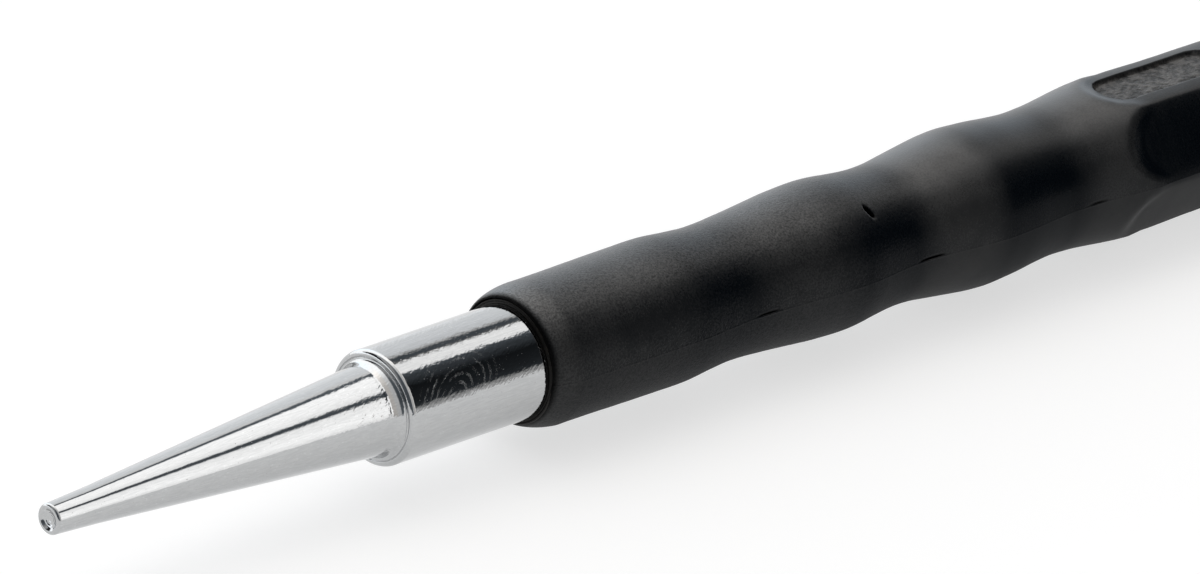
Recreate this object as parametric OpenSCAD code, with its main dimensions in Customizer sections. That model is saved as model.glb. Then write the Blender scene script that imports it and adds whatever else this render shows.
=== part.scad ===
// Nail setter: a chromed steel punch in a two-part moulded grip.
// The tool lies along X with the point towards -X, the striking head towards +X
// and the label flat up. The origin is under the middle, level with the lowest flat.

/* [Point] */
// Diameter of the ground land at the point
tip_d = 3; // [1.6:0.1:4]
// Length of the ground land
tip_land_len = 3.4; // [1:0.1:6]
// Rounding of the rim at the point
tip_round = 0.42; // [0.1:0.02:0.5]
// Diameter of the dished cup that holds the nail head
cup_d = 1.7; // [0.8:0.1:1.9]
// Depth of the cup
cup_depth = 0.4; // [0.1:0.05:0.6]

/* [Cone] */
// Length from the point to the face of the shoulder
point_len = 35.9; // [28:0.05:50]
// Diameter that the cone would reach at the shoulder face
cone_base_d = 7.9; // [6:0.1:8]
// Length of the hollow blend between cone and shoulder
blend_len = 1.3; // [0.4:0.1:3]
// Rise of the hollow blend above the cone
blend_rise = 0.4; // [0.1:0.05:0.5]
// Rounding of the shoulder's outer edge
shoulder_round = 0.55; // [0.2:0.05:0.6]

/* [Shank] */
// Diameter of the bright shank
shank_d = 10; // [9.8:0.05:10.6]
// Length of shank between the shoulder face and the grip
shank_len = 15.4; // [8:0.05:30]
// Depth of the seats by which the steel enters the grip
seat_depth = 0.5; // [0.2:0.1:2]
// How far the steel steps in at those seats
seat_step = 0.5; // [0.3:0.1:0.8]

/* [Tang] */
// Diameter of the tang inside the grip
tang_d = 8; // [6:0.1:8.4]
// Distance between the two flats that stop the grip turning
tang_flat_w = 7.2; // [5.4:0.1:7.6]
// Number of holding grooves round the tang
tang_groove_count = 3; // [1:1:6]
// Width of each holding groove
tang_groove_w = 3; // [1:0.5:6]
// Depth of each holding groove
tang_groove_depth = 0.3; // [0.1:0.05:0.6]

/* [Head] */
// Diameter of the striking head
head_d = 10; // [9:0.1:10.6]
// Length of the head that stands out of the grip
head_len = 8.7; // [6:0.1:20]
// Chamfer round the striking face
head_chamfer = 1.2; // [0.3:0.1:2]

/* [Grip core] */
// Wall of the hard core along the tang
core_wall = 1; // [0.6:0.05:1.15]
// Wall of the lip that shows round the steel
lip_wall = 0.5; // [0.3:0.05:0.6]
// Length of the thick collar behind each lip
collar_len = 2.2; // [1:0.1:5]
// Length of the slope from collar down to the plain core
collar_slope_len = 1.4; // [0.5:0.1:4]
// Gap left where one moulding meets the next piece
mould_gap = 0.02; // [0.01:0.01:0.05]

/* [Grip skin] */
// Width of the fine crevice between lip and skin
crevice_w = 0.12; // [0.05:0.01:0.3]
// Depth of the crevice
crevice_depth = 0.5; // [0.2:0.1:1.5]
// Length of the rounded nose
nose_len = 3; // [1:0.1:6]
// Diameter just behind the nose
nose_d = 12.45; // [12.2:0.05:13.4]
// Length from the mouth to the first swell
swell_1_run = 16.3; // [10:0.1:24]
// Diameter of the first swell
swell_1_d = 12.64; // [12.2:0.02:13.6]
// Length from the first swell to the first waist
waist_1_run = 6.4; // [4:0.1:12]
// Diameter of the first waist
waist_1_d = 11.74; // [11.3:0.02:12.3]
// Length from the first waist to the second swell
swell_2_run = 12.4; // [6:0.1:18]
// Diameter of the second swell
swell_2_d = 13.14; // [12.2:0.02:14]
// Length from the second swell to the second waist
waist_2_run = 6.9; // [4:0.1:12]
// Diameter of the second waist
waist_2_d = 12.02; // [11.3:0.02:12.6]
// Length from the second waist to the third swell
swell_3_run = 9.9; // [6:0.1:16]
// Diameter of the third swell
swell_3_d = 13.74; // [12.8:0.02:14.6]
// Length from the third swell to the third waist
waist_3_run = 8.4; // [4:0.1:14]
// Diameter of the third waist
waist_3_d = 12.56; // [11.6:0.02:13]
// Length from the third waist to the last swell
swell_4_run = 10.3; // [6:0.1:16]
// Diameter of the last swell
swell_4_d = 14.04; // [13.2:0.02:15]
// Length over which the last swell runs down to the rear land
rear_run = 8.8; // [4:0.1:14]
// Diameter over the rounded corners of the rear land
rear_d = 13.66; // [13:0.02:14.4]
// Length of the rear land
rear_land_len = 4.2; // [1:0.1:12]
// Length over which the rear end flares out behind that land
flare_run = 4.2; // [3:0.1:10]
// Diameter over the rounded corners of the flared rear end
flare_d = 16.8; // [16:0.1:18.4]
// Length of the level band round the flared rear end
flare_land_len = 0.8; // [0.4:0.1:3]
// Length of the rounding at the rear end of the grip
tail_len = 1.4; // [0.6:0.1:3]

/* [Flats] */
// Number of flats that stop the tool rolling
flat_count = 6; // [4:2:8]
// Distance across opposite flats
across_flats = 12.5; // [12.2:0.02:12.9]
// Distance across opposite flats at the flared rear end, on which the tool rests
flare_across_flats = 15.1; // [14.94:0.02:15.8]
// How far ahead of the last swell the flats begin
flats_lead = 2.9; // [1:0.1:5]
// Radius of the rounded front end of each flat
flat_end_r = 3.3; // [2.4:0.1:4.5]
// Length over which a flat's front end runs out
flat_runout = 0.5; // [0.1:0.05:1.2]

/* [Label recess] */
// Width of the bare recess in the upper flat
label_w = 4.3; // [2.5:0.1:5]
// Depth of the recess
label_depth = 0.45; // [0.1:0.05:0.5]
// Corner radius of the recess
label_corner_r = 1.6; // [0.4:0.1:2]
// Distance from the front of the flat to the recess
label_front_gap = 0.8; // [0.3:0.1:4]
// Distance from the recess to where the flats flare out
label_rear_gap = 1.7; // [0.4:0.1:4]

/* [Hidden] */
$fn = 96;
// How far a cut runs past the face that it opens
overrun = 1;
// Straight steps in each round or wavy stretch of an outline
curve_steps = 9;

tip_r = tip_d / 2;
shank_r = shank_d / 2;
tang_r = tang_d / 2;
head_r = head_d / 2;
core_r = tang_r + core_wall;
front_lip_r = shank_r + lip_wall;
rear_lip_r = head_r + lip_wall;
nose_r = nose_d / 2;
rear_r = rear_d / 2;
flare_r = flare_d / 2;
flat_r = across_flats / 2;
flare_flat_r = flare_across_flats / 2;
front_seat_r = shank_r - seat_step;
rear_seat_r = head_r - seat_step;

// Places along the axis, counted from the point
shoulder_at = point_len;
mouth_at = shoulder_at + shank_len;
swell_1_at = mouth_at + swell_1_run;
waist_1_at = swell_1_at + waist_1_run;
swell_2_at = waist_1_at + swell_2_run;
waist_2_at = swell_2_at + waist_2_run;
swell_3_at = waist_2_at + swell_3_run;
waist_3_at = swell_3_at + waist_3_run;
swell_4_at = waist_3_at + swell_4_run;
rear_at = swell_4_at + rear_run;
flare_from = rear_at + rear_land_len;
flare_at = flare_from + flare_run;
tail_at = flare_at + flare_land_len + tail_len;
total_len = tail_at + head_len;
flats_at = swell_4_at - flats_lead;
label_at = flats_at + label_front_gap;
label_len = flare_from - label_rear_gap - label_at;
tang_from = mouth_at + seat_depth;
tang_to = tail_at - seat_depth;
shank_to = mouth_at - mould_gap;
head_from = tail_at + mould_gap;

// Radius of the cone at a distance along the axis
function cone_r(at) = tip_r
    + (cone_base_d / 2 - tip_r) * (at - tip_land_len) / (point_len - tip_land_len);

// Points of a quarter ellipse, from where it starts square to the axis to where it runs along it
function quarter_out(from_r, to_r, at, run) = [
    for (i = [0 : curve_steps])
        let (turn = 90 * i / curve_steps)
        [from_r + (to_r - from_r) * sin(turn), at + run * (1 - cos(turn))]
];

// Points of a quarter ellipse, from where it runs along the axis to where it ends square to it
function quarter_in(from_r, to_r, at, run) = [
    for (i = [0 : curve_steps])
        let (turn = 90 * i / curve_steps)
        [from_r + (to_r - from_r) * (1 - cos(turn)), at + run * sin(turn)]
];

// Points of a soft wave between two stations, without the last one
function wave(from, to) = [
    for (i = [0 : curve_steps - 1])
        let (along_share = i / curve_steps)
        [
            from[0] + (to[0] - from[0]) * (1 - cos(180 * along_share)) / 2,
            from[1] + (to[1] - from[1]) * along_share
        ]
];

// Crests and hollows of the grip as radius and place
stations = [
    [nose_r, mouth_at + nose_len],
    [swell_1_d / 2, swell_1_at],
    [waist_1_d / 2, waist_1_at],
    [swell_2_d / 2, swell_2_at],
    [waist_2_d / 2, waist_2_at],
    [swell_3_d / 2, swell_3_at],
    [waist_3_d / 2, waist_3_at],
    [swell_4_d / 2, swell_4_at],
    [rear_r, rear_at]
];
waves = [
    for (i = [0 : len(stations) - 2])
        each wave(stations[i], stations[i + 1]),
    stations[len(stations) - 1]
];

// The axis lies as high as the thickest uncut part of the grip or the flared flats, if they are higher
belly_r = max([for (p = waves) if (p[1] <= flats_at) p[0]]);
axis_height = max(belly_r, min(flare_r, flare_flat_r));

// Lays a shape built upwards along Z down on its lowest flat, its +X side up
module lie_down() {
    translate([-total_len / 2, 0, axis_height])
        rotate([0, 90, 0])
            rotate([0, 0, 180])
                children();
}

// The tang with its grooves and flats, larger all round by the given gap and sunk into both seats
module tang(gap, sunk) {
    pitch = (tang_to - tang_from) / tang_groove_count;
    intersection() {
        difference() {
            translate([0, 0, tang_from - sunk])
                cylinder(r = tang_r + gap, h = tang_to - tang_from + 2 * sunk);
            for (i = [0 : tang_groove_count - 1])
                translate([0, 0, tang_from + pitch * (i + 1 / 2)])
                    tang_groove(gap);
        }
        translate([-tang_flat_w / 2 - gap, -tang_d, tang_from - overrun])
            cube([tang_flat_w + 2 * gap, 2 * tang_d, tang_to - tang_from + 2 * overrun]);
    }
}

module tang_groove(gap) {
    width = tang_groove_w - 2 * gap;
    translate([0, 0, -width / 2])
        difference() {
            cylinder(r = tang_d, h = width);
            translate([0, 0, -overrun])
                cylinder(r = tang_r - tang_groove_depth + gap, h = width + 2 * overrun);
        }
}

// The point, cone, shoulder, shank and front seat as one turned outline
module turned_front() {
    blend_at = shoulder_at - blend_len;
    blend_from_r = cone_r(blend_at);
    rotate_extrude()
        polygon(concat(
            [[0, 0]],
            quarter_out(tip_r - tip_round, tip_r, 0, tip_round),
            [[tip_r, tip_land_len]],
            quarter_in(blend_from_r, cone_r(shoulder_at) + blend_rise, blend_at, blend_len),
            quarter_out(shank_r - shoulder_round, shank_r, shoulder_at, shoulder_round),
            [[shank_r, shank_to], [front_seat_r, shank_to], [front_seat_r, tang_from], [0, tang_from]]
        ));
}

// Ball that hollows the cup, from the cup's width and depth
module cup_ball() {
    ball_r = (pow(cup_d / 2, 2) + pow(cup_depth, 2)) / (2 * cup_depth);
    translate([0, 0, cup_depth - ball_r])
        sphere(r = ball_r);
}

// The rear seat and the head with its chamfered striking face
module striking_head() {
    rotate_extrude()
        polygon([
            [0, tang_to],
            [rear_seat_r, tang_to],
            [rear_seat_r, head_from],
            [head_r, head_from],
            [head_r, total_len - head_chamfer],
            [head_r - head_chamfer, total_len],
            [0, total_len]
        ]);
}

module punch() {
    color("#c9ced2")
        lie_down()
            difference() {
                union() {
                    turned_front();
                    tang(0, seat_depth);
                    striking_head();
                }
                cup_ball();
            }
}

// Outside of the hard core, larger all round by the given gap
module core_outside(gap) {
    core_from = mouth_at - gap;
    core_to = tail_at + gap;
    rotate_extrude()
        polygon([
            [0, core_from],
            [front_lip_r + gap, core_from],
            [front_lip_r + gap, mouth_at + collar_len],
            [core_r + gap, mouth_at + collar_len + collar_slope_len],
            [core_r + gap, tail_at - collar_len - collar_slope_len],
            [rear_lip_r + gap, tail_at - collar_len],
            [rear_lip_r + gap, core_to],
            [0, core_to]
        ]);
}

// Pockets in the core that the steel's two seats fill
module steel_seats() {
    translate([0, 0, mouth_at - overrun])
        cylinder(r = front_seat_r + mould_gap, h = overrun + seat_depth + mould_gap);
    translate([0, 0, tang_to - mould_gap])
        cylinder(r = rear_seat_r + mould_gap, h = seat_depth + mould_gap + overrun);
}

module grip_core() {
    color("#4a4743")
        lie_down()
            difference() {
                core_outside(0);
                tang(mould_gap, mould_gap);
                steel_seats();
            }
}

// The skin's waved outside, from the mouth to the tail
module skin_outside() {
    rotate_extrude()
        polygon(concat(
            [[0, mouth_at]],
            quarter_out(front_lip_r + crevice_w, nose_r, mouth_at, nose_len),
            waves,
            wave([rear_r, flare_from], [flare_r, flare_at]),
            [[flare_r, flare_at]],
            quarter_in(flare_r, rear_lip_r + crevice_w, tail_at - tail_len, tail_len),
            [[0, tail_at]]
        ));
}

// Fine ring grooves that part the skin from both lips
module crevices() {
    translate([0, 0, mouth_at - overrun])
        cylinder(r = front_lip_r + crevice_w, h = overrun + crevice_depth);
    translate([0, 0, tail_at - crevice_depth])
        cylinder(r = rear_lip_r + crevice_w, h = crevice_depth + overrun);
}

// One flat's cutter on the +X side, round at its front end and flared with the grip at its rear
module flat_cutter() {
    round_at = flats_at + flat_end_r;
    cut_depth = swell_4_d / 2 - flat_r + overrun;
    spread = flat_runout * cut_depth / (swell_4_d / 2 - flat_r);
    reach = max(swell_4_d / 2, flare_r) + overrun;
    translate([flat_r, 0, round_at])
        rotate([0, 90, 0])
            cylinder(r1 = flat_end_r, r2 = flat_end_r + spread, h = cut_depth);
    translate([0, reach, 0])
        rotate([90, 0, 0])
            linear_extrude(height = 2 * reach)
                polygon(concat(
                    [[reach, round_at], [flat_r, round_at]],
                    wave([flat_r, flare_from], [flare_flat_r, flare_at]),
                    [[flare_flat_r, flare_at], [flare_flat_r, tail_at + overrun]],
                    [[reach, tail_at + overrun]]
                ));
}

// Cutter of the bare recess in the upper flat
module label_cutter() {
    translate([flat_r - label_depth, 0, label_at])
        rotate([0, 90, 0])
            linear_extrude(height = label_depth + overrun)
                label_outline();
}

// Outline of the recess, its length along -X
module label_outline() {
    for (along = [label_corner_r, label_len - label_corner_r])
        for (side = [-1, 1])
            translate([-along, side * (label_w / 2 - label_corner_r)])
                circle(r = label_corner_r);
    translate([-label_len, -(label_w / 2 - label_corner_r)])
        square([label_len, label_w - 2 * label_corner_r]);
    translate([label_corner_r - label_len, -label_w / 2])
        square([label_len - 2 * label_corner_r, label_w]);
}

module grip_skin() {
    color("#2b2d2f")
        lie_down()
            difference() {
                skin_outside();
                core_outside(mould_gap);
                crevices();
                for (i = [0 : flat_count - 1])
                    rotate([0, 0, 360 * i / flat_count])
                        flat_cutter();
                label_cutter();
            }
}

punch();
grip_core();
grip_skin();
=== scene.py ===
import math
import bpy
import numpy as np
from mathutils import Matrix, Vector


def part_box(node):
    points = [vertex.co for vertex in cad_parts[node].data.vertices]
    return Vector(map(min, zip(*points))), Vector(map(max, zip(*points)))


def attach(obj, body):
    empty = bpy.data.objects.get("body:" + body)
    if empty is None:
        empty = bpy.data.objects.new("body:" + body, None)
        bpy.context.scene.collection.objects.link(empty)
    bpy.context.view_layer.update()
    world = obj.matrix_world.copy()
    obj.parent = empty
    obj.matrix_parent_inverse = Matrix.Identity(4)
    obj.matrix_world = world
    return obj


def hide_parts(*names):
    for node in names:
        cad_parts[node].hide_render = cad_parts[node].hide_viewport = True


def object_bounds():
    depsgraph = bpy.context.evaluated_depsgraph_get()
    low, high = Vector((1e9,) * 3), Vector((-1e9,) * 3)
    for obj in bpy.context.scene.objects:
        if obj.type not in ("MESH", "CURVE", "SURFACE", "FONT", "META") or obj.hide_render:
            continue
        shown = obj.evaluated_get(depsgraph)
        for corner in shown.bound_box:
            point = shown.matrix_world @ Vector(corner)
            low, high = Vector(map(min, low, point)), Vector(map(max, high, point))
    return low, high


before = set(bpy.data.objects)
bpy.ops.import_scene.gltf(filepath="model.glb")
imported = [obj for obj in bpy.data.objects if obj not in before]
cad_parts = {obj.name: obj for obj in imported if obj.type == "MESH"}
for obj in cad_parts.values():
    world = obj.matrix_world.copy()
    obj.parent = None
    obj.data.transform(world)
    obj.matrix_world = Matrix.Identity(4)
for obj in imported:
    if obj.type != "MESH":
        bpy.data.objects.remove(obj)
cadBox = [list(corner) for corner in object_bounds()]

# Places along the tool are millimetres from the point; mm turns them into metres in the part's frame.
mm = 0.001
toolLength = (cadBox[1][0] - cadBox[0][0]) / mm
axisHeight = (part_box("punch")[0][2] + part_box("punch")[1][2]) / 2 / mm


# node helpers
class NodeDesk:
    # Adds nodes to one tree and wires them, so that a formula reads from left to right
    def __init__(self, tree):
        self.tree = tree

    def add(self, kind, *wires, **settings):
        node = self.tree.nodes.new(kind)
        for name, value in settings.items():
            setattr(node, name, value)
        for socket, value in zip(node.inputs, wires):
            self.feed(socket, value)
        return node

    def feed(self, socket, value):
        if isinstance(value, bpy.types.NodeSocket):
            self.tree.links.new(value, socket)
        elif value is not None:
            socket.default_value = value

    def calc(self, operation, *values, clamp=False):
        return self.add("ShaderNodeMath", *values, operation=operation, use_clamp=clamp).outputs[0]

    def total(self, *values):
        result = values[0]
        for value in values[1:]:
            result = self.calc("ADD", result, value)
        return result

    def product(self, *values):
        result = values[0]
        for value in values[1:]:
            result = self.calc("MULTIPLY", result, value)
        return result

    def less(self, first, second):
        return self.calc("SUBTRACT", first, second)

    def length(self, first, second):
        return self.calc("SQRT", self.total(self.product(first, first), self.product(second, second)))

    def ramp(self, value, low, high, outLow=0.0, outHigh=1.0, soft=True):
        style = "SMOOTHSTEP" if soft else "LINEAR"
        node = self.add("ShaderNodeMapRange", value, low, high, outLow, outHigh, interpolation_type=style)
        return node.outputs[0]

    def point(self, x, y, z):
        return self.add("ShaderNodeCombineXYZ", x, y, z).outputs[0]


def newTree(name, sizes):
    # A Geometry Nodes group with one named input for each size
    tree = bpy.data.node_groups.new(name, "GeometryNodeTree")
    tree.interface.new_socket("Geometry", in_out="INPUT", socket_type="NodeSocketGeometry")
    tree.interface.new_socket("Geometry", in_out="OUTPUT", socket_type="NodeSocketGeometry")
    for key, value in sizes.items():
        socket = tree.interface.new_socket(key, in_out="INPUT", socket_type="NodeSocketFloat")
        socket.default_value = value
    return tree


def bakeTree(piece, tree, sizes):
    # Sets the inputs by identifier, evaluates once and keeps the result as a plain mesh
    modifier = piece.modifiers.new("shape", "NODES")
    modifier.node_group = tree
    for item in tree.interface.items_tree:
        if item.item_type == "SOCKET" and item.in_out == "INPUT" and item.name in sizes:
            modifier[item.identifier] = float(sizes[item.name])
    graph = bpy.context.evaluated_depsgraph_get()
    mesh = bpy.data.meshes.new_from_object(piece.evaluated_get(graph))
    piece.modifiers.remove(modifier)
    piece.data = mesh
    return piece


def addPiece(name, points, faces):
    mesh = bpy.data.meshes.new(name)
    mesh.from_pydata([tuple(p) for p in points], [], faces)
    mesh.validate()
    piece = bpy.data.objects.new(name, mesh)
    bpy.context.scene.collection.objects.link(piece)
    return piece


def smoothShade(piece):
    piece.data.polygons.foreach_set("use_smooth", [True] * len(piece.data.polygons))
    piece.data.update()


def place(along, radius, turn):
    # Turn 0 is up, and a quarter turn is towards +Y
    return ((along - toolLength / 2) * mm, radius * math.sin(turn) * mm,
            (axisHeight + radius * math.cos(turn)) * mm)


def turnedPiece(name, outline, sides, closed=False):
    # Turns an outline of (place, radius) round the tool's axis; radius 0 makes a pole
    points, rings, faces = [], [], []
    for along, radius in outline:
        if radius == 0:
            rings.append([len(points)] * sides)
            points.append(place(along, 0, 0))
        else:
            rings.append(list(range(len(points), len(points) + sides)))
            points += [place(along, radius, 2 * math.pi * i / sides) for i in range(sides)]
    pairs = list(zip(rings, rings[1:])) + ([(rings[-1], rings[0])] if closed else [])
    for a, b in pairs:
        for i in range(sides):
            j = (i + 1) % sides
            corner = [a[i], a[j], b[j], b[i]]
            faces.append([v for k, v in enumerate(corner) if v not in corner[:k]])
    piece = addPiece(name, points, faces)
    smoothShade(piece)
    return piece


def quarter(fromRadius, toRadius, at, run, steps, outwards=True):
    # A quarter round, square to the axis at its start (outwards) or at its end
    turns = [math.pi / 2 * i / steps for i in range(steps + 1)]
    step = toRadius - fromRadius
    if outwards:
        return [(at + run * (1 - math.cos(t)), fromRadius + step * math.sin(t)) for t in turns]
    return [(at + run * math.sin(t), fromRadius + step * (1 - math.cos(t))) for t in turns]


# punch
punch = {
    "tipRadius": 1.5, "tipLand": 3.4, "landStretch": 1.4, "rimRadius": 1.35, "tipRound": 0.28,
    "cupRadius": 0.98, "cupDepth": 0.38, "cupEdge": 0.03, "cupRings": 4, "cupRing": 0.012,
    "pointLength": 35.9, "coneBase": 3.95, "blendLength": 1.3, "blendRise": 0.4, "blendLead": 0.6,
    "grooveWidth": 0.14, "grooveDepth": 0.09, "grooveRound": 0.6, "beadRound": 0.48,
    "shankRadius": 5.0, "shankLead": 0.9, "shankEnd": 51.28, "seatRadius": 4.5, "edgeRing": 0.1,
    "tangRadius": 4.0, "tangFrom": 51.8, "tangTo": 140.8, "headFrom": 141.32, "headChamfer": 1.2,
    # softened edges of the chamfer, as (along, outwards) from where they would be sharp
    "sideEdge": [(-0.15, 0.0), (-0.05, -0.01), (0.07, -0.09)],
    "faceEdge": [(-0.09, 0.07), (-0.01, -0.05), (0.0, -0.2)],
    "faceRing": 1.5, "grooveShares": (-1.0, -0.7, -0.3, 0.0, 0.3, 0.7),
    # how finely each stretch is turned
    "cupSteps": 36, "rimSteps": 12, "landRings": 8, "coneRings": 18, "roundSteps": 16, "shankRings": 12,
    "sides": 256,
}


def punchOutline(p):
    slope = (p["coneBase"] - p["tipRadius"]) / (p["pointLength"] - p["tipLand"])

    def coneRadius(at):
        return p["tipRadius"] + slope * (at - p["tipLand"])

    # the cup is part of a ball, with fine rings left by turning
    ball = (p["cupRadius"] ** 2 + p["cupDepth"] ** 2) / (2 * p["cupDepth"])
    outline = [(p["cupDepth"], 0.0)]
    for i in range(1, p["cupSteps"] + 1):
        share = i / p["cupSteps"]
        radius = p["cupRadius"] * share
        ring = p["cupRing"] * (1 - math.cos(2 * math.pi * p["cupRings"] * share)) / 2
        outline.append((p["cupDepth"] - ring - ball + math.sqrt(ball ** 2 - radius ** 2), radius))
    outline += [(0.0, p["cupRadius"] + p["cupEdge"])]
    outline += quarter(p["rimRadius"] - p["tipRound"], p["rimRadius"], 0, p["tipRound"], p["rimSteps"])

    # the ground land at the tip still narrows a little, and the cone starts behind it
    coneFrom = p["tipLand"] * p["landStretch"]
    for share in np.linspace(0.1, 0.9, p["landRings"]):
        at = p["tipRound"] + (coneFrom - p["tipRound"]) * share
        outline.append((at, p["rimRadius"] + (coneRadius(coneFrom) - p["rimRadius"]) * share))
    blendAt = p["pointLength"] - p["blendLength"]
    coneRings = np.linspace(coneFrom, blendAt - p["blendLead"], p["coneRings"])
    outline += [(at, coneRadius(at)) for at in coneRings]
    blendTop = p["coneBase"] + p["blendRise"]
    outline += quarter(coneRadius(blendAt), blendTop, blendAt, p["blendLength"], p["roundSteps"], False)

    # the shoulder face ends in a fine turned groove and a rounded bead
    bead = p["shankRadius"] - p["beadRound"]
    for share in p["grooveShares"]:
        drop = p["grooveDepth"] * (1 - abs(share)) ** p["grooveRound"]
        outline.append((p["pointLength"] + drop, bead + (share - 1) * p["grooveWidth"] / 2))
    outline += quarter(bead, p["shankRadius"], p["pointLength"], p["beadRound"], p["roundSteps"])
    shankFrom, shankTo = p["pointLength"] + p["shankLead"], p["shankEnd"] - p["edgeRing"]
    outline += [(at, p["shankRadius"]) for at in np.linspace(shankFrom, shankTo, p["shankRings"])]

    # tang between its two seats, and the head with its striking face
    outline += [(p["shankEnd"], p["shankRadius"]), (p["shankEnd"], p["seatRadius"])]
    outline += [(p["tangFrom"], p["seatRadius"]), (p["tangFrom"], p["tangRadius"])]
    outline += [(p["tangTo"], p["tangRadius"]), (p["tangTo"], p["seatRadius"])]
    outline += [(p["headFrom"], p["seatRadius"]), (p["headFrom"], p["shankRadius"])]
    outline += [(p["headFrom"] + p["edgeRing"], p["shankRadius"])]
    chamferFrom, faceRadius = toolLength - p["headChamfer"], p["shankRadius"] - p["headChamfer"]
    outline += [(chamferFrom + ahead, p["shankRadius"] + out) for ahead, out in p["sideEdge"]]
    outline += [(toolLength + ahead, faceRadius + out) for ahead, out in p["faceEdge"]]
    return outline + [(toolLength, p["faceRing"]), (toolLength, 0.0)]


punchPiece = turnedPiece("punch_steel", punchOutline(punch), punch["sides"])
print("punch turned:", len(punchPiece.data.polygons), "faces")

# grip core, whose lip shows round the steel
core = {
    "bore": 4.02, "seatBore": 4.52, "faceRadius": 4.9, "lipBore": 5.0, "lip": 5.38, "wall": 5.0,
    "mouth": 51.3, "tail": 141.3, "pocket": 0.52, "mouldGap": 0.02, "collar": 2.2, "slope": 1.4,
    # the lip's face with two fine ridges, as (share of its width, share of the ridges' depth)
    "ridge": 0.07,
    "lipFace": [(0.0, 0.1), (0.06, 0.03), (0.2, 0.0), (0.34, 0.05), (0.44, 0.6), (0.5, 1.0),
                (0.56, 0.6), (0.66, 0.05), (0.8, 0.0), (0.92, 0.25), (1.0, 1.1)],
    "sides": 160,
}


def coreOutline(c):
    def end(at, inwards):
        # from the steel's pocket over the lip to the wall; inwards is the sign of the way in
        gapAt, pocketAt = at + inwards * c["mouldGap"], at + inwards * c["pocket"]
        points = [(pocketAt, c["seatBore"]), (gapAt, c["seatBore"]), (gapAt, c["faceRadius"])]
        for share, drop in c["lipFace"]:
            radius = c["lipBore"] + (c["lip"] - c["lipBore"]) * share
            points.append((at + inwards * c["ridge"] * drop, radius))
        points.append((at + inwards * c["collar"], c["lip"]))
        points.append((at + inwards * (c["collar"] + c["slope"]), c["wall"]))
        return points

    outline = end(c["mouth"], 1) + end(c["tail"], -1)[::-1]
    return outline + [(c["tail"] - c["pocket"], c["bore"]), (c["mouth"] + c["pocket"], c["bore"])]


corePiece = turnedPiece("grip_core_sleeve", coreOutline(core), core["sides"], closed=True)
print("core turned:", len(corePiece.data.polygons), "faces")

# grip skin: a blank sleeve of rings, which the node tree waves, flattens and recesses
grip = {
    # inputs of the node tree, to which the stations and the flash places are added below
    "sizes": {
        "Mouth": 51.3, "Nose Length": 3.0, "Nose Wear": 0.35, "Lip Radius": 5.49, "Edge Softness": 1.5,
        "Flat Radius": 6.25, "Flat Round Place": 122.3, "Flat End Radius": 2.4, "Flat Runout": 4.0,
        "Flat End Fade": 2.0, "Flare From": 134.9, "Flare To": 139.1, "Flared Flat Radius": 7.55,
        "Tail From": 139.9, "Tail Length": 1.4,
        "Recess Middle": 126.2, "Recess Half Length": 6.9, "Recess Half Width": 2.15,
        "Recess Corner": 2.0, "Recess Depth": 0.42, "Recess Lip": 0.22, "Recess Brim": 0.03,
        "Parting Height": 0.026, "Parting Width": 0.12, "Parting Fade From": 96.0, "Parting Fade To": 118.0,
        "Flash Length": 1.9, "Flash Height": 0.06,
        "Slit Height": 0.13, "Slit Width": 0.13, "Slit Depth": 0.14,
        "Nick Place": 88.6, "Nick Turn": -0.646, "Nick Depth": 0.3,
        "Nick Half Length": 0.8, "Nick Half Width": 0.3,
    },
    # (place, radius) of swells, waists and flare
    "stations": [(54.3, 6.225), (67.6, 6.32), (74.0, 5.87), (86.4, 6.57), (93.3, 6.01), (103.2, 6.87),
                 (111.6, 6.28), (121.9, 7.02), (130.7, 6.83), (134.9, 6.83), (139.1, 8.4)],
    # (place, strength) of the flash that tore on the parting line
    "flash": [(75.6, 0.6), (94.4, 1.0), (113.6, 0.4)],
    "noseWearTurn": -2.55, "partingWobble": 0.9, "partingShares": (0.35, 1.2), "partingLeft": 0.3,
    "nickSlant": 0.35, "nickFade": (0.2, 1.15), "dentDepth": 0.02, "dentScale": 260.0,
    # where the skin counts as torn: shares of nick and slit
    "tornNick": (0.0, 0.25), "tornSlit": (0.05, 0.4),
    # where a painted highlight lightens the colour and raises the gloss: rising slopes by their lean, the
    # stretch behind the nose, the nose itself, and the lower flats by the turn
    "highlightLean": (-0.03, 0.15), "highlightFront": (62.8, 70.8, 0.5), "highlightNose": 1.2,
    "highlightUnder": (1.5, 1.7, 0.85), "flatEdge": 0.12,
    # the blank: its bore, and stretches of rings as (from, to, spacing)
    "boreRadius": 5.03, "collarRadius": 5.41, "collarTaper": 0.01, "collarEnd": 2.2, "slopeEnd": 3.6,
    "creviceDepth": 0.5, "noseRings": 24, "tailRings": 16,
    "stretches": [(54.3, 74.4, 0.45), (74.4, 76.4, 0.2), (76.4, 87.7, 0.45), (87.7, 89.5, 0.11),
                  (89.5, 92.6, 0.45), (92.6, 94.6, 0.2), (94.6, 112.6, 0.45), (112.6, 114.6, 0.2),
                  (114.6, 118.6, 0.4), (118.6, 122.6, 0.13), (122.6, 130.8, 0.35),
                  (130.8, 133.8, 0.12), (133.8, 139.9, 0.26)],
    # even columns, and closer ones at the recess's long edges, the parting lines and the nick
    "columns": 232, "closest": 0.0035,
    "edgeColumns": (1.86, 2.3, 0.055),
    "partingRadius": 6.4, "partingColumns": (-0.17, -0.12, -0.07, -0.03, 0, 0.03, 0.07, 0.12, 0.17),
    "nickRadius": 6.3, "nickColumns": (0.05, 0.16, 0.27, 0.38, 0.49),
}
for number, (at, radius) in enumerate(grip["stations"]):
    grip["sizes"]["Place %d" % number] = at
    grip["sizes"]["Radius %d" % number] = radius
for number, (at, _) in enumerate(grip["flash"]):
    grip["sizes"]["Flash %d" % number] = at


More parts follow.
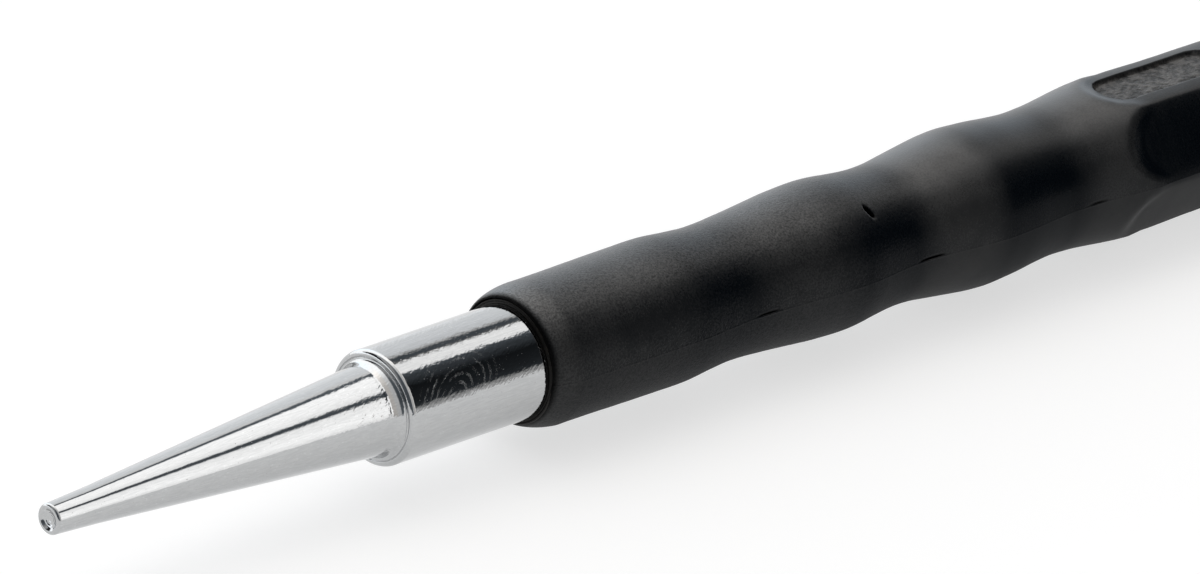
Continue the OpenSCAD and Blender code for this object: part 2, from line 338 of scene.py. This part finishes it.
def sleeveColumns(g):
    flatRadius, nickTurn = g["sizes"]["Flat Radius"], g["sizes"]["Nick Turn"]
    turns = [2 * math.pi * i / g["columns"] for i in range(g["columns"])]
    for side in (-1, 1):
        turns += [side * math.asin(t / flatRadius) for t in np.arange(*g["edgeColumns"])]
        turns += [side * math.pi / 2 + t / g["partingRadius"] for t in g["partingColumns"]]
        turns += [nickTurn + side * t / g["nickRadius"] for t in g["nickColumns"]]
    turns = sorted(t % (2 * math.pi) for t in turns)
    kept = [turns[0]]
    for turn in turns[1:]:
        if turn - kept[-1] > g["closest"]:
            kept.append(turn)
    return kept


def sleeveRings(g):
    # (place, starting radius, 1 where the tree shapes the ring)
    size = g["sizes"]
    mouth, noseLength, lip = size["Mouth"], size["Nose Length"], size["Lip Radius"]
    tailFrom, tailLength = size["Tail From"], size["Tail Length"]
    tail = tailFrom + tailLength
    noseTurns = [math.pi / 2 * i / g["noseRings"] for i in range(g["noseRings"] + 1)]
    tailTurns = [math.pi / 2 * i / g["tailRings"] for i in range(1, g["tailRings"] + 1)]
    rings = [(mouth + g["creviceDepth"], g["collarRadius"], 0), (mouth + g["creviceDepth"], lip, 0)]
    rings += [(mouth + noseLength * (1 - math.cos(t)), 0, 1) for t in noseTurns]
    for start, stop, gap in g["stretches"]:
        count = max(1, round((stop - start) / gap))
        rings += [(start + (stop - start) * i / count, 0, 1) for i in range(1, count + 1)]
    rings += [(tailFrom + tailLength * math.sin(t), 0, 1) for t in tailTurns]
    rings += [(tail - g["creviceDepth"], lip, 0), (tail - g["creviceDepth"], g["collarRadius"], 0)]
    tapered = g["collarRadius"] - g["collarTaper"]
    rings += [(tail - g["collarEnd"], tapered, 0), (tail - g["slopeEnd"], g["boreRadius"], 0)]
    rings += [(mouth + g["slopeEnd"], g["boreRadius"], 0), (mouth + g["collarEnd"], tapered, 0)]
    return rings


def gripBlank(g):
    turns, rings = sleeveColumns(g), sleeveRings(g)
    count = len(turns)
    points = [place(at, radius, turn) for at, radius, _ in rings for turn in turns]
    faces = []
    for r in range(len(rings)):
        a, b = r * count, (r + 1) % len(rings) * count
        faces += [(a + i, a + (i + 1) % count, b + (i + 1) % count, b + i) for i in range(count)]
    piece = addPiece("grip_skin_soft", points, faces)
    for name, column in (("along", [at for at, _, _ in rings for _ in turns]),
                         ("turn", [(t + math.pi) % (2 * math.pi) - math.pi for _ in rings for t in turns]),
                         ("shaped", [float(flag) for _, _, flag in rings for _ in turns])):
        piece.data.attributes.new(name, "FLOAT", "POINT").data.foreach_set("value", column)
    return piece


def wavedRadius(d, g, size, along):
    # Each swell or waist adds its step to the radius; lean is how steeply the wave rises
    radius, lean = size["Radius 0"], 0.0
    for i in range(len(g["stations"]) - 1):
        start, stop = size["Place %d" % i], size["Place %d" % (i + 1)]
        step = d.less(size["Radius %d" % (i + 1)], size["Radius %d" % i])
        radius = d.total(radius, d.ramp(along, start, stop, 0.0, step))
        share = d.ramp(along, start, stop, soft=False)
        steep = d.product(share, d.less(1.0, share), 6.0)
        lean = d.total(d.product(steep, d.calc("DIVIDE", step, d.less(stop, start))), lean)
    return radius, lean


def roundedOff(d, size, share, fullRadius):
    # What a quarter round takes off the full radius
    left = d.calc("SQRT", d.calc("SUBTRACT", 1.0, d.calc("POWER", share, 2.0), clamp=True))
    return d.product(d.less(fullRadius, size["Lip Radius"]), d.less(1.0, left))


def flattenedRadius(d, size, along, turn, radius):
    # Six flats, each with a round end in front that rises ever more steeply
    sixth = math.pi / 3
    fromFlat = d.less(d.calc("FLOORED_MODULO", d.total(turn, sixth / 2), sixth), sixth / 2)
    across = d.product(radius, d.calc("SINE", fromFlat))
    ahead = d.calc("MINIMUM", d.less(along, size["Flat Round Place"]), 0.0)
    past = d.calc("MAXIMUM", d.less(d.length(across, ahead), size["Flat End Radius"]), 0.0)
    rise = d.calc("DIVIDE", d.product(past, past), size["Flat Runout"])
    rise = d.product(rise, d.ramp(d.product(ahead, -1.0), 0.0, size["Flat End Fade"]))
    flare = d.less(size["Flared Flat Radius"], size["Flat Radius"])
    flare = d.ramp(along, size["Flare From"], size["Flare To"], 0.0, flare)
    return d.calc("DIVIDE", d.total(size["Flat Radius"], flare, rise), d.calc("COSINE", fromFlat))


def recessShare(d, size, along, turn, radius):
    # 1 inside the bare recess of the upper flat, a rounded rectangle with a soft wall
    beyond = []
    for distance, half in ((d.less(along, size["Recess Middle"]), size["Recess Half Length"]),
                           (d.product(radius, d.calc("SINE", turn)), size["Recess Half Width"])):
        beyond.append(d.less(d.calc("ABSOLUTE", distance), d.less(half, size["Recess Corner"])))
    outside = d.length(*(d.calc("MAXIMUM", value, 0.0) for value in beyond))
    within = d.calc("MINIMUM", d.calc("MAXIMUM", *beyond), 0.0)
    edge = d.less(d.total(outside, within), size["Recess Corner"])
    upper = d.calc("GREATER_THAN", d.calc("COSINE", turn), 0.5)
    return d.product(d.ramp(edge, size["Recess Brim"], d.less(0.0, size["Recess Lip"])), upper)


def partedRadius(d, g, size, along, turn, radius):
    # A parting line with flash in the waists, which tore just above the line and left slits
    height = d.product(radius, d.calc("COSINE", turn))
    fade = d.ramp(d.calc("ABSOLUTE", height), 0.0, size["Parting Width"], 1.0, 0.0)
    wobble = d.add("ShaderNodeTexNoise", noise_dimensions="1D")
    d.feed(wobble.inputs["W"], along)
    d.feed(wobble.inputs["Scale"], g["partingWobble"])
    uneven = d.ramp(wobble.outputs[0], 0.3, 0.7, *g["partingShares"])
    towardsRear = d.ramp(along, size["Parting Fade From"], size["Parting Fade To"], 1.0, g["partingLeft"])
    ridge = d.product(size["Parting Height"], uneven, towardsRear)
    flash = 0.0
    for i, (_, strength) in enumerate(g["flash"]):
        away = d.calc("ABSOLUTE", d.less(along, size["Flash %d" % i]))
        flash = d.total(d.ramp(away, size["Flash Length"], 0.0, 0.0, strength), flash)
    ridge = d.total(ridge, d.product(flash, size["Flash Height"]))
    slitAway = d.calc("ABSOLUTE", d.less(height, size["Slit Height"]))
    nearSide = d.calc("LESS_THAN", turn, 0.0)
    slit = d.product(flash, d.ramp(slitAway, size["Slit Width"], 0.0), nearSide)
    radius = d.total(radius, d.product(ridge, fade))
    return d.less(radius, d.product(slit, size["Slit Depth"])), slit


def nickShare(d, g, size, along, turn, radius):
    # 1 at the bottom of the nick, a slanting gouge
    sine, cosine = math.sin(g["nickSlant"]), math.cos(g["nickSlant"])
    ahead = d.less(along, size["Nick Place"])
    across = d.product(d.less(turn, size["Nick Turn"]), radius)
    lengthwise = d.total(d.product(ahead, sine), d.product(across, -cosine))
    sideways = d.total(d.product(ahead, cosine), d.product(across, sine))
    spread = d.length(d.calc("DIVIDE", lengthwise, size["Nick Half Length"]),
                      d.calc("DIVIDE", sideways, size["Nick Half Width"]))
    return d.ramp(spread, *g["nickFade"], 1.0, 0.0)


def gripTree(g):
    tree = newTree("shape the grip", g["sizes"])
    d = NodeDesk(tree)
    size = {s.name: s for s in d.add("NodeGroupInput").outputs}

    def own(name):
        node = d.add("GeometryNodeInputNamedAttribute", data_type="FLOAT")
        d.feed(node.inputs[0], name)
        return node.outputs[0]

    along, turn = own("along"), own("turn")
    wave, lean = wavedRadius(d, g, size, along)
    noseEnd = d.total(size["Mouth"], size["Nose Length"])
    nose = d.ramp(along, size["Mouth"], noseEnd, 1.0, 0.0, soft=False)
    tailEnd = d.total(size["Tail From"], size["Tail Length"])
    tail = d.ramp(along, size["Tail From"], tailEnd, soft=False)
    wave = d.less(wave, roundedOff(d, size, nose, size["Radius 0"]))
    wave = d.less(wave, roundedOff(d, size, tail, size["Radius %d" % (len(g["stations"]) - 1)]))
    # the nose is worn rounder on its lower side
    lower = d.ramp(d.calc("COSINE", d.less(turn, g["noseWearTurn"])), 0.2, 1.0)
    wave = d.less(wave, d.product(nose, lower, size["Nose Wear"]))

    flatRadius = flattenedRadius(d, size, along, turn, wave)
    radius = d.calc("SMOOTH_MIN", wave, flatRadius, size["Edge Softness"])
    recess = recessShare(d, size, along, turn, radius)
    radius = d.less(radius, d.product(recess, size["Recess Depth"]))
    radius, slit = partedRadius(d, g, size, along, turn, radius)
    nick = nickShare(d, g, size, along, turn, radius)
    radius = d.less(radius, d.product(nick, size["Nick Depth"]))
    # handling dents, too shallow to see but for the light on them
    dents = d.add("ShaderNodeTexNoise", noise_dimensions="3D")
    d.feed(dents.inputs["Vector"], d.add("GeometryNodeInputPosition").outputs[0])
    d.feed(dents.inputs["Scale"], g["dentScale"])
    radius = d.total(radius, d.ramp(dents.outputs[0], 0.25, 0.75, -g["dentDepth"], g["dentDepth"]))

    height = d.total(d.product(radius, d.calc("COSINE", turn)), axisHeight)
    spot = d.point(d.product(d.less(along, toolLength / 2), mm),
                   d.product(radius, d.calc("SINE", turn), mm), d.product(height, mm))
    shaped = d.calc("GREATER_THAN", own("shaped"), 0.5)
    geometry = d.add("GeometryNodeSetPosition", size["Geometry"], shaped, spot).outputs[0]

    # what the material asks for: recess, torn places and the painted highlight
    torn = d.calc("MAXIMUM", d.ramp(nick, *g["tornNick"]), d.ramp(slit, *g["tornSlit"]))
    frontFrom, frontTo, frontShare = g["highlightFront"]
    underFrom, underTo, underShare = g["highlightUnder"]
    onFlat = d.ramp(d.less(wave, flatRadius), -g["flatEdge"], g["flatEdge"])
    # painted highlight on rising slopes, behind the nose, on the nose and on the lower flats
    highlightAlong = d.total(d.ramp(lean, *g["highlightLean"]), d.ramp(along, frontFrom, frontTo, frontShare, 0.0),
                   d.product(nose, g["highlightNose"]))
    highlightOnFlats = d.ramp(d.calc("ABSOLUTE", turn), underFrom, underTo, 0.0, underShare)
    paintedHighlight = d.total(d.product(highlightAlong, d.less(1.0, onFlat)), d.product(onFlat, highlightOnFlats))
    for name, value in (("recess", recess), ("paintedHighlight", paintedHighlight), ("torn", torn)):
        keep = d.add("GeometryNodeStoreNamedAttribute", geometry, data_type="FLOAT", domain="POINT")
        d.feed(keep.inputs["Name"], name)
        d.feed(keep.inputs["Value"], d.product(value, shaped))
        geometry = keep.outputs[0]
    real = d.add("GeometryNodeRealizeInstances", geometry)
    paint = d.add("GeometryNodeSetMaterial", real.outputs[0])
    d.feed(paint.inputs["Material"], bpy.data.materials["soft grip rubber"])
    d.add("NodeGroupOutput", paint.outputs[0])
    return tree


# materials
def newMaterial(name):
    material = bpy.data.materials.new(name)
    material.use_nodes = True
    tree = material.node_tree
    tree.nodes.clear()
    d = NodeDesk(tree)
    shader = d.add("ShaderNodeBsdfPrincipled")
    d.add("ShaderNodeOutputMaterial", shader.outputs[0])
    return material, d, shader


def toolCoordinates(d):
    # Object coordinates in millimetres: place along the tool, and y and z from its axis
    spot = d.add("ShaderNodeSeparateXYZ", d.add("ShaderNodeTexCoord").outputs["Object"])
    along, y, height = (d.calc("DIVIDE", part, mm) for part in spot.outputs)
    return along, y, d.less(height, axisHeight)


def speckle(d, vector, scale, detail=2.0, rough=0.5):
    node = d.add("ShaderNodeTexNoise")
    for name, value in (("Vector", vector), ("Scale", scale), ("Detail", detail), ("Roughness", rough)):
        d.feed(node.inputs[name], value)
    return node.outputs["Fac"]


def addBumps(d, shader, *layers):
    # Each layer is a height with its (distance in metres, strength)
    normal = None
    for height, (distance, strength) in layers:
        node = d.add("ShaderNodeBump")
        for name, value in (("Strength", strength), ("Distance", distance), ("Height", height),
                            ("Normal", normal)):
            d.feed(node.inputs[name], value)
        normal = node.outputs[0]
    d.feed(shader.inputs["Normal"], normal)


def colourMix(d, share, first, second):
    node = d.add("ShaderNodeMix", data_type="RGBA")
    d.feed(node.inputs["Factor"], share)
    for name, value in (("A", first), ("B", second)):
        socket = [s for s in node.inputs if s.name == name and s.type == "RGBA"][0]
        d.feed(socket, value)
    return [s for s in node.outputs if s.type == "RGBA"][0]


def grey(value, warm=0.0):
    return (value * (1 + warm), value, value * (1 - warm), 1.0)


# Grains in these dictionaries are (scale, detail, roughness), bumps (distance in metres, strength), and
# stretches say how often a grain repeats per millimetre along the tool and across it.
chromeLook = {
    "tint": (0.49, 0.496, 0.5, 1), "markTint": (0.55, 0.56, 0.565, 1), "hairlineTint": (0.45, 0.457, 0.462, 1),
    "dustTint": grey(0.45), "dustMatt": 0.8,
    "roughness": 0.018, "markRoughness": 0.06, "smearRoughness": 0.13, "dustRoughness": 0.3,
    "plating": (0.9, 2.0), "platingBump": (0.00001, 0.5),
    "drawn": (1.0, 2.0, 0.5), "drawnStretch": (1.3, 2.6), "drawnBump": (0.000011, 1.0),
    "hairline": (1.0, 3.0, 0.6), "hairlineStretch": (0.7, 9.0), "hairlineFrom": (0.35, 0.65),
    "lathe": (1.0, 3.0), "latheStretch": (9.0, 0.2), "latheBump": (0.000001, 0.3),
    "stroke": (1.0, 1.5, 0.5), "strokeStretch": (1.1, 4.5), "strokeSlant": 35, "strokeBump": (0.000009, 1.0),
    "scratch": (4.0, 3.0, 0.6), "scratchBump": (0.000003, 0.3), "markFrom": (0.56, 0.72),
    "dust": (6.0, 1.0), "dustFrom": (0.73, 0.81),
    # the ground cone is finer than the drawn shank: from and to, counted from the shoulder, and share left
    "drawnFade": (-16, 0, 0.35), "strokeFade": (-14, 3, 0.08),
    # finger's smears: their middle, how far they lean and stretch, where they start and cease to fade
    "smearMiddle": (-34.0, -4.5, 1.6), "smearLean": 0.4, "smearStretch": 0.75, "smearFade": (2.5, 5.5),
    "smearWave": {"Scale": 0.55, "Distortion": 2.9, "Detail": 1.5, "Detail Scale": 0.35},
    "smearFrom": (0.35, 0.95), "smearBreak": (0.9, 2.0), "smearBreakFrom": (0.34, 0.56),
}


def fingerSmears(d, look, along, y, z):
    # Long broken arcs that lean
    middle = look["smearMiddle"]
    behind = d.less(along, middle[0])
    lean = d.product(behind, look["smearLean"])
    around = d.point(d.product(behind, look["smearStretch"]), d.less(y, middle[1]),
                     d.less(d.less(z, middle[2]), lean))
    arcs = d.add("ShaderNodeTexWave", around, wave_type="RINGS", rings_direction="SPHERICAL")
    for name, value in look["smearWave"].items():
        d.feed(arcs.inputs[name], value)
    away = d.add("ShaderNodeVectorMath", around, operation="LENGTH").outputs["Value"]
    broken = d.ramp(speckle(d, d.point(along, y, z), *look["smearBreak"]), *look["smearBreakFrom"])
    fade = d.ramp(away, *look["smearFade"], 1.0, 0.0)
    return d.product(d.ramp(arcs.outputs["Fac"], *look["smearFrom"]), broken, fade)


def chromeMaterial(look):
    material, d, shader = newMaterial("bright chrome over ground steel")
    along, y, z = toolCoordinates(d)
    solid = d.point(along, y, z)

    def stretched(name):
        # a grain whose cells are longer along the tool than round it, or the other way about
        lengthwise, across = look[name + "Stretch"]
        vector = d.point(d.product(along, lengthwise), d.product(y, across), d.product(z, across))
        return speckle(d, vector, *look[name])

    def fadedOnCone(height, name):
        fadeFrom, fadeTo, left = look[name + "Fade"]
        shoulder = punch["pointLength"] - toolLength / 2
        return d.product(height, d.ramp(along, shoulder + fadeFrom, shoulder + fadeTo, left, 1.0))

    # wide waves of the plating, the drawn bar's grain that frays reflections, hairlines along the bar,
    # and lathe marks round it
    plating = speckle(d, solid, *look["plating"])
    drawn, hairline, lathe = (stretched(name) for name in ("drawn", "hairline", "lathe"))
    # grinding strokes, which run at a slant round the bar
    arc = d.product(d.calc("ARCTAN2", y, z), punch["shankRadius"])
    sine, cosine = (f(math.radians(look["strokeSlant"])) for f in (math.sin, math.cos))
    onward = d.total(d.product(along, cosine), d.product(arc, sine))
    aside = d.total(d.product(along, -sine), d.product(arc, cosine))
    onwards, sideways = look["strokeStretch"]
    ground = d.point(d.product(onward, onwards), d.product(aside, sideways), 0.0)
    strokes = speckle(d, ground, *look["stroke"])
    scratch = speckle(d, solid, *look["scratch"])
    marks = d.ramp(scratch, *look["markFrom"])
    smears = fingerSmears(d, look, along, y, z)
    dust = d.ramp(speckle(d, solid, *look["dust"]), *look["dustFrom"])

    tint = colourMix(d, marks, look["tint"], look["markTint"])
    tint = colourMix(d, d.ramp(hairline, *look["hairlineFrom"]), tint, look["hairlineTint"])
    d.feed(shader.inputs["Base Color"], colourMix(d, dust, tint, look["dustTint"]))
    d.feed(shader.inputs["Metallic"], d.less(1.0, d.product(dust, look["dustMatt"])))
    rough = d.total(look["roughness"], d.product(marks, look["markRoughness"]),
                    d.product(smears, look["smearRoughness"]), d.product(dust, look["dustRoughness"]))
    d.feed(shader.inputs["Roughness"], rough)
    addBumps(d, shader, (plating, look["platingBump"]), (fadedOnCone(drawn, "drawn"), look["drawnBump"]),
             (fadedOnCone(strokes, "stroke"), look["strokeBump"]), (lathe, look["latheBump"]),
             (scratch, look["scratchBump"]))
    return material


rubberLook = {
    # the second colour is the lighter one of the painted highlight
    "fresh": (0.0009, 0.002, 0.0034, 1.0), "paintedHighlight": grey(0.0128, -0.05), "dust": grey(0.028),
    "recessLow": grey(0.02), "recessHigh": grey(0.1, 0.04), "recessFrom": (0.35, 0.65),
    # the first two give the crevice's painted shade: how black it is, and how far back from the mouth it
    # reaches
    "creviceShadeShare": 0.85, "creviceShadeLength": 0.6, "dustShare": 0.5, "dustFrom": (0.66, 0.8),
    "highlightShares": (0.6, 1.2), "ior": 1.45,
    "grain": (5.6, 3.0, 0.65), "pores": (2.6, 3.0, 0.6), "handled": (0.22, 3.0, 0.55),
    "pebble": (1.5, 3.0, 0.55),
    # painted sheen above and dull below, by how far the surface looks up; the grain's strength from one place
    # to another
    "upperSheenFrom": (0.5, 0.95), "upperSheenGloss": (0.42, 0.75), "dullFrom": (-0.025, 0.005),
    "freshFrom": (2.0, 28.0, 0.5, 0.15),
    "gloss": 0.06, "dullGloss": 0.1, "highlightGloss": 0.11, "roughness": 0.26, "upperSheenRoughness": 0.09,
    "dullRoughness": 0.34, "handledRoughness": 0.16, "grainRoughness": 0.2, "recessRoughness": 0.2,
    "grainBump": (0.00014, 0.6), "poreBump": (0.0002, 0.3), "pebbleBump": (0.0006, 1.0),
}


def rubberMaterial(look):
    material, d, shader = newMaterial("soft grip rubber")
    along, y, z = toolCoordinates(d)
    solid = d.point(along, y, z)
    recess, torn, paintedHighlight = (d.add("ShaderNodeAttribute", attribute_name=name).outputs["Fac"]
                            for name in ("recess", "torn", "paintedHighlight"))
    grain, pores, handled, pebble = (speckle(d, solid, *look[name])
                                     for name in ("grain", "pores", "handled", "pebble"))
    dust = d.ramp(grain, *look["dustFrom"])
    # painted highlight: lightens the base colour by its share, varied by the handled grain
    paintedHighlight = d.product(paintedHighlight, d.ramp(handled, 0.3, 0.7, *look["highlightShares"]))
    base = colourMix(d, paintedHighlight, look["fresh"], look["paintedHighlight"])
    base = colourMix(d, d.product(dust, look["dustShare"]), base, look["dust"])
    pebbled = colourMix(d, d.ramp(pebble, *look["recessFrom"]), look["recessLow"], look["recessHigh"])
    base = colourMix(d, recess, base, pebbled)
    # painted shade: black and without gloss where the nose turns into the crevice, and where the skin is torn,
    # which also paints the shade inside the nick and the slits
    mouth = grip["sizes"]["Mouth"] - toolLength / 2
    creviceShade = d.ramp(along, mouth, mouth + look["creviceShadeLength"], 1.0, 0.0)
    unshaded = d.less(1.0, d.calc("MAXIMUM", torn, d.product(creviceShade, look["creviceShadeShare"])))
    d.feed(shader.inputs["Base Color"], colourMix(d, unshaded, grey(0.0), base))

    # painted sheen: the more the surface looks up, the more and the more broadly it reflects, standing in for
    # light from above
    upwards = d.add("ShaderNodeSeparateXYZ", d.add("ShaderNodeNewGeometry").outputs["Normal"]).outputs[2]
    upperSheen = d.ramp(upwards, *look["upperSheenFrom"])
    # the lower mould half left a duller skin than the upper one
    dull = d.ramp(upwards, *look["dullFrom"], 1.0, 0.0)
    gloss = d.total(look["gloss"], d.product(upperSheen, d.ramp(paintedHighlight, 0.0, 1.0, *look["upperSheenGloss"])),
                    d.product(dull, look["dullGloss"]), d.product(paintedHighlight, look["highlightGloss"]))
    # the moulded grain is worn smoother towards the rear
    fresh = d.ramp(along, *look["freshFrom"])
    grainy = d.product(d.ramp(grain, 0.3, 0.7, -1.0, 1.0), fresh)
    gloss = d.product(gloss, d.total(1.0, grainy))
    # painted shade: no gloss where the crevice and the torn places are painted black
    d.feed(shader.inputs["Specular IOR Level"], d.product(gloss, unshaded))
    rough = d.total(look["roughness"], d.product(upperSheen, look["upperSheenRoughness"]),
                    d.product(dull, look["dullRoughness"]),
                    d.product(d.less(handled, 0.5), look["handledRoughness"]),
                    d.product(d.less(grain, 0.5), look["grainRoughness"]),
                    d.product(recess, look["recessRoughness"]))
    d.feed(shader.inputs["Roughness"], rough)
    d.feed(shader.inputs["IOR"], look["ior"])
    addBumps(d, shader, (d.product(grain, fresh), look["grainBump"]),
             (d.product(pores, fresh), look["poreBump"]), (d.product(pebble, recess), look["pebbleBump"]))
    return material


plasticLook = {
    "plain": grey(0.004, 0.2), "scuffed": grey(0.014, 0.25), "specular": 0.2,
    "grain": (4.0, 3.0, 0.6), "scuffs": (1.3, 2.0), "scuffFrom": (0.55, 0.75),
    "roughness": 0.38, "grainRoughness": 0.2, "grainBump": (0.00008, 0.5),
}


def coreMaterial(look):
    material, d, shader = newMaterial("hard core plastic")
    solid = d.point(*toolCoordinates(d))
    grain = speckle(d, solid, *look["grain"])
    scuffs = d.ramp(speckle(d, solid, *look["scuffs"]), *look["scuffFrom"])
    d.feed(shader.inputs["Base Color"], colourMix(d, scuffs, look["plain"], look["scuffed"]))
    d.feed(shader.inputs["Specular IOR Level"], look["specular"])
    d.feed(shader.inputs["Roughness"], d.total(look["roughness"], d.product(grain, look["grainRoughness"])))
    addBumps(d, shader, (grain, look["grainBump"]))
    return material


chrome, rubber, plastic = chromeMaterial(chromeLook), rubberMaterial(rubberLook), coreMaterial(plasticLook)
print("materials made")

gripPiece = bakeTree(gripBlank(grip), gripTree(grip), grip["sizes"])
smoothShade(gripPiece)
print("grip shaped:", len(gripPiece.data.polygons), "faces")

for piece, material, node, slot in ((punchPiece, chrome, "punch", "chromed_steel"),
                                    (corePiece, plastic, "grip_core", "core_plastic"),
                                    (gripPiece, rubber, "grip_skin", "skin_rubber")):
    piece.data.materials.clear()
    piece.data.materials.append(material)
    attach(piece, "root")
    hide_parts(node)

# studio
studio = {
    "floor": 0.45, "floorSize": 6.0, "floorGlow": 0.62, "skyStrength": 1.0,
    # directions at no turn and at a quarter turn round the tool's axis, the first towards what the middle of
    # the shank mirrors
    "mirror": (0, -0.828, 0.560), "below": (0, -0.560, -0.828),
    # brightness under which a card is bluish, and how much
    "darkCard": 0.2, "darkCool": 0.12,
    # how far forward the cone mirrors, and how much that bends with the turn
    "stripReach": 0.636, "stripBend": 0.115,
    # Brightness by the turn round the tool's axis, as (degrees, value). Shank and cone each mirror a row of
    # their own; slopes of the grip that fall mirror fallRow, faces that look forward mirror frontRow, and
    # everything between mirrors openRow.
    "shankRow": [(-180, 0.842), (-150, 0.994), (-111, 1.111), (-93, 0.994), (-87, 0.585), (-82, 0.105),
                 (-75, 0.105), (-71, 0.234), (-67, 1.521), (-47, 1.521), (-43, 0.14), (-37, 0.082),
                 (-15, 0.012), (12, 0.023), (23, 0.04), (29, 0.52), (40, 0.78), (180, 0.819)],
    "openRow": [(-180, 1.3), (-130, 2.0), (-75, 2.0), (-55, 1.2), (-35, 0.8), (30, 0.7), (60, 0.5),
                (180, 0.9)],
    "frontRow": [(-180, 0.8), (-146, 0.8), (-142, 2.0), (-130, 2.0), (-126, 0.03), (-104, 0.03),
                 (-98, 0.6), (-80, 0.5), (-45, 0.15), (0, 0.1), (30, 0.15), (60, 0.5), (180, 0.8)],
    "fallRow": [(-180, 1.0), (-110, 1.1), (-75, 0.9), (-55, 0.4), (-42, 0.03), (60, 0.02), (85, 0.4),
                (180, 0.8)],
    "coneRow": [(-180, 1.053), (-141, 1.228), (-102, 1.17), (-90, 1.053), (-86, 0.175), (-80, 0.175),
                (-75, 1.93), (-46, 1.813), (-30, 1.579), (-26, 0.117), (-18, 0.117), (-13, 1.638),
                (20, 1.872), (32, 1.521), (45, 1.053), (180, 1.053)],
    # parts of the sky behind frontRow, as (row, tint, from, to); cone and shank count from the cone's strip,
    # the others along the tool
    "sky": [("openRow", 0.0, -0.38, -0.15), ("openRow", 0.1, 0.1, 0.3), ("coneRow", 0.02, -0.045, -0.028),
            ("shankRow", 0.02, 0.036, 0.05), ("fallRow", 0.1, 0.675, 0.7)],
    "frontTint": 0.03,
}


def makeFloor(s):
    half = s["floorSize"] / 2
    corners = [(-half, -half, 0), (half, -half, 0), (half, half, 0), (-half, half, 0)]
    floor = addPiece("studio_floor", corners, [(0, 1, 2, 3)])
    material, d, shader = newMaterial("pale paper")
    for name, value in (("Base Color", grey(s["floor"])), ("Roughness", 0.9), ("Specular IOR Level", 0.1),
                        ("Emission Color", grey(1.0)), ("Emission Strength", s["floorGlow"])):
        d.feed(shader.inputs[name], value)
    floor.data.materials.append(material)


def makeStudioLight(s):
    world = bpy.data.worlds.new("studio")
    bpy.context.scene.world = world
    world.use_nodes = True
    tree = world.node_tree
    tree.nodes.clear()
    d = NodeDesk(tree)
    towards = d.add("ShaderNodeTexCoord").outputs["Generated"]
    alongTool, mirror, below = (
        d.add("ShaderNodeVectorMath", towards, direction, operation="DOT_PRODUCT").outputs["Value"]
        for direction in ((1, 0, 0), s["mirror"], s["below"]))
    turn = d.calc("ARCTAN2", below, mirror)
    share = d.ramp(turn, -math.pi, math.pi, soft=False)

    def band(row, tint):
        # the row as a ramp of colours: cool by its tint past the top, and half as warm elsewhere
        node = d.add("ShaderNodeValToRGB", share)
        stops = node.color_ramp.elements
        while len(stops) > 1:
            stops.remove(stops[-1])
        for index, (angle, value) in enumerate(s[row]):
            spot = (angle + 180) / 360
            stop = stops[0] if index == 0 else stops.new(spot)
            stop.position = spot
            cool = tint if angle < -90 else (s["darkCool"] if value < s["darkCard"] else -0.5 * tint)
            stop.color = (value * (1 - cool), value, value * (1 + cool), 1)
        return node.outputs[0]

    # the cone's normals lean forward, so it mirrors a narrow strip that bends with the turn
    strip = d.less(s["stripReach"], d.product(s["stripBend"], d.calc("COSINE", d.product(turn, 0.5))))
    past = d.less(alongTool, strip)
    light = band("frontRow", s["frontTint"])
    for row, tint, low, high in s["sky"]:
        value = past if row in ("coneRow", "shankRow") else alongTool
        light = colourMix(d, d.ramp(value, low, high), light, band(row, tint))
    back = d.add("ShaderNodeBackground", light, s["skyStrength"])
    d.add("ShaderNodeOutputWorld", back.outputs[0])


makeFloor(studio)
makeStudioLight(studio)
print("studio lit")

# camera
camera = {"azimuth": -45.4, "elevation": 25.4, "roll": 4.64, "distance": 2.1, "frameWidth": 99.31,
          "target": 61.85, "lift": 3.59, "sensor": 36.0, "clip": (0.1, 20)}


def makeCamera(c):
    az, el, roll = (math.radians(c[k]) for k in ("azimuth", "elevation", "roll"))
    back = Vector((math.sin(az) * math.cos(el), -math.cos(az) * math.cos(el), math.sin(el)))
    right = Vector((math.cos(az), math.sin(az), 0))
    up = back.cross(right)
    right, up = right * math.cos(roll) + up * math.sin(roll), up * math.cos(roll) - right * math.sin(roll)
    data = bpy.data.cameras.new("studio_camera")
    data.sensor_width = c["sensor"]
    data.lens = c["sensor"] * c["distance"] / (c["frameWidth"] * mm)
    data.clip_start, data.clip_end = c["clip"]
    eye = bpy.data.objects.new("studio_camera", data)
    bpy.context.scene.collection.objects.link(eye)
    target = Vector(place(c["target"], 0, 0)) + up * c["lift"] * mm
    turn = Matrix((right, up, back)).transposed().to_4x4()
    eye.matrix_world = Matrix.Translation(target + back * c["distance"]) @ turn
    bpy.context.scene.camera = eye


makeCamera(camera)
bpy.context.scene.view_settings.view_transform = "Standard"
print("camera set")
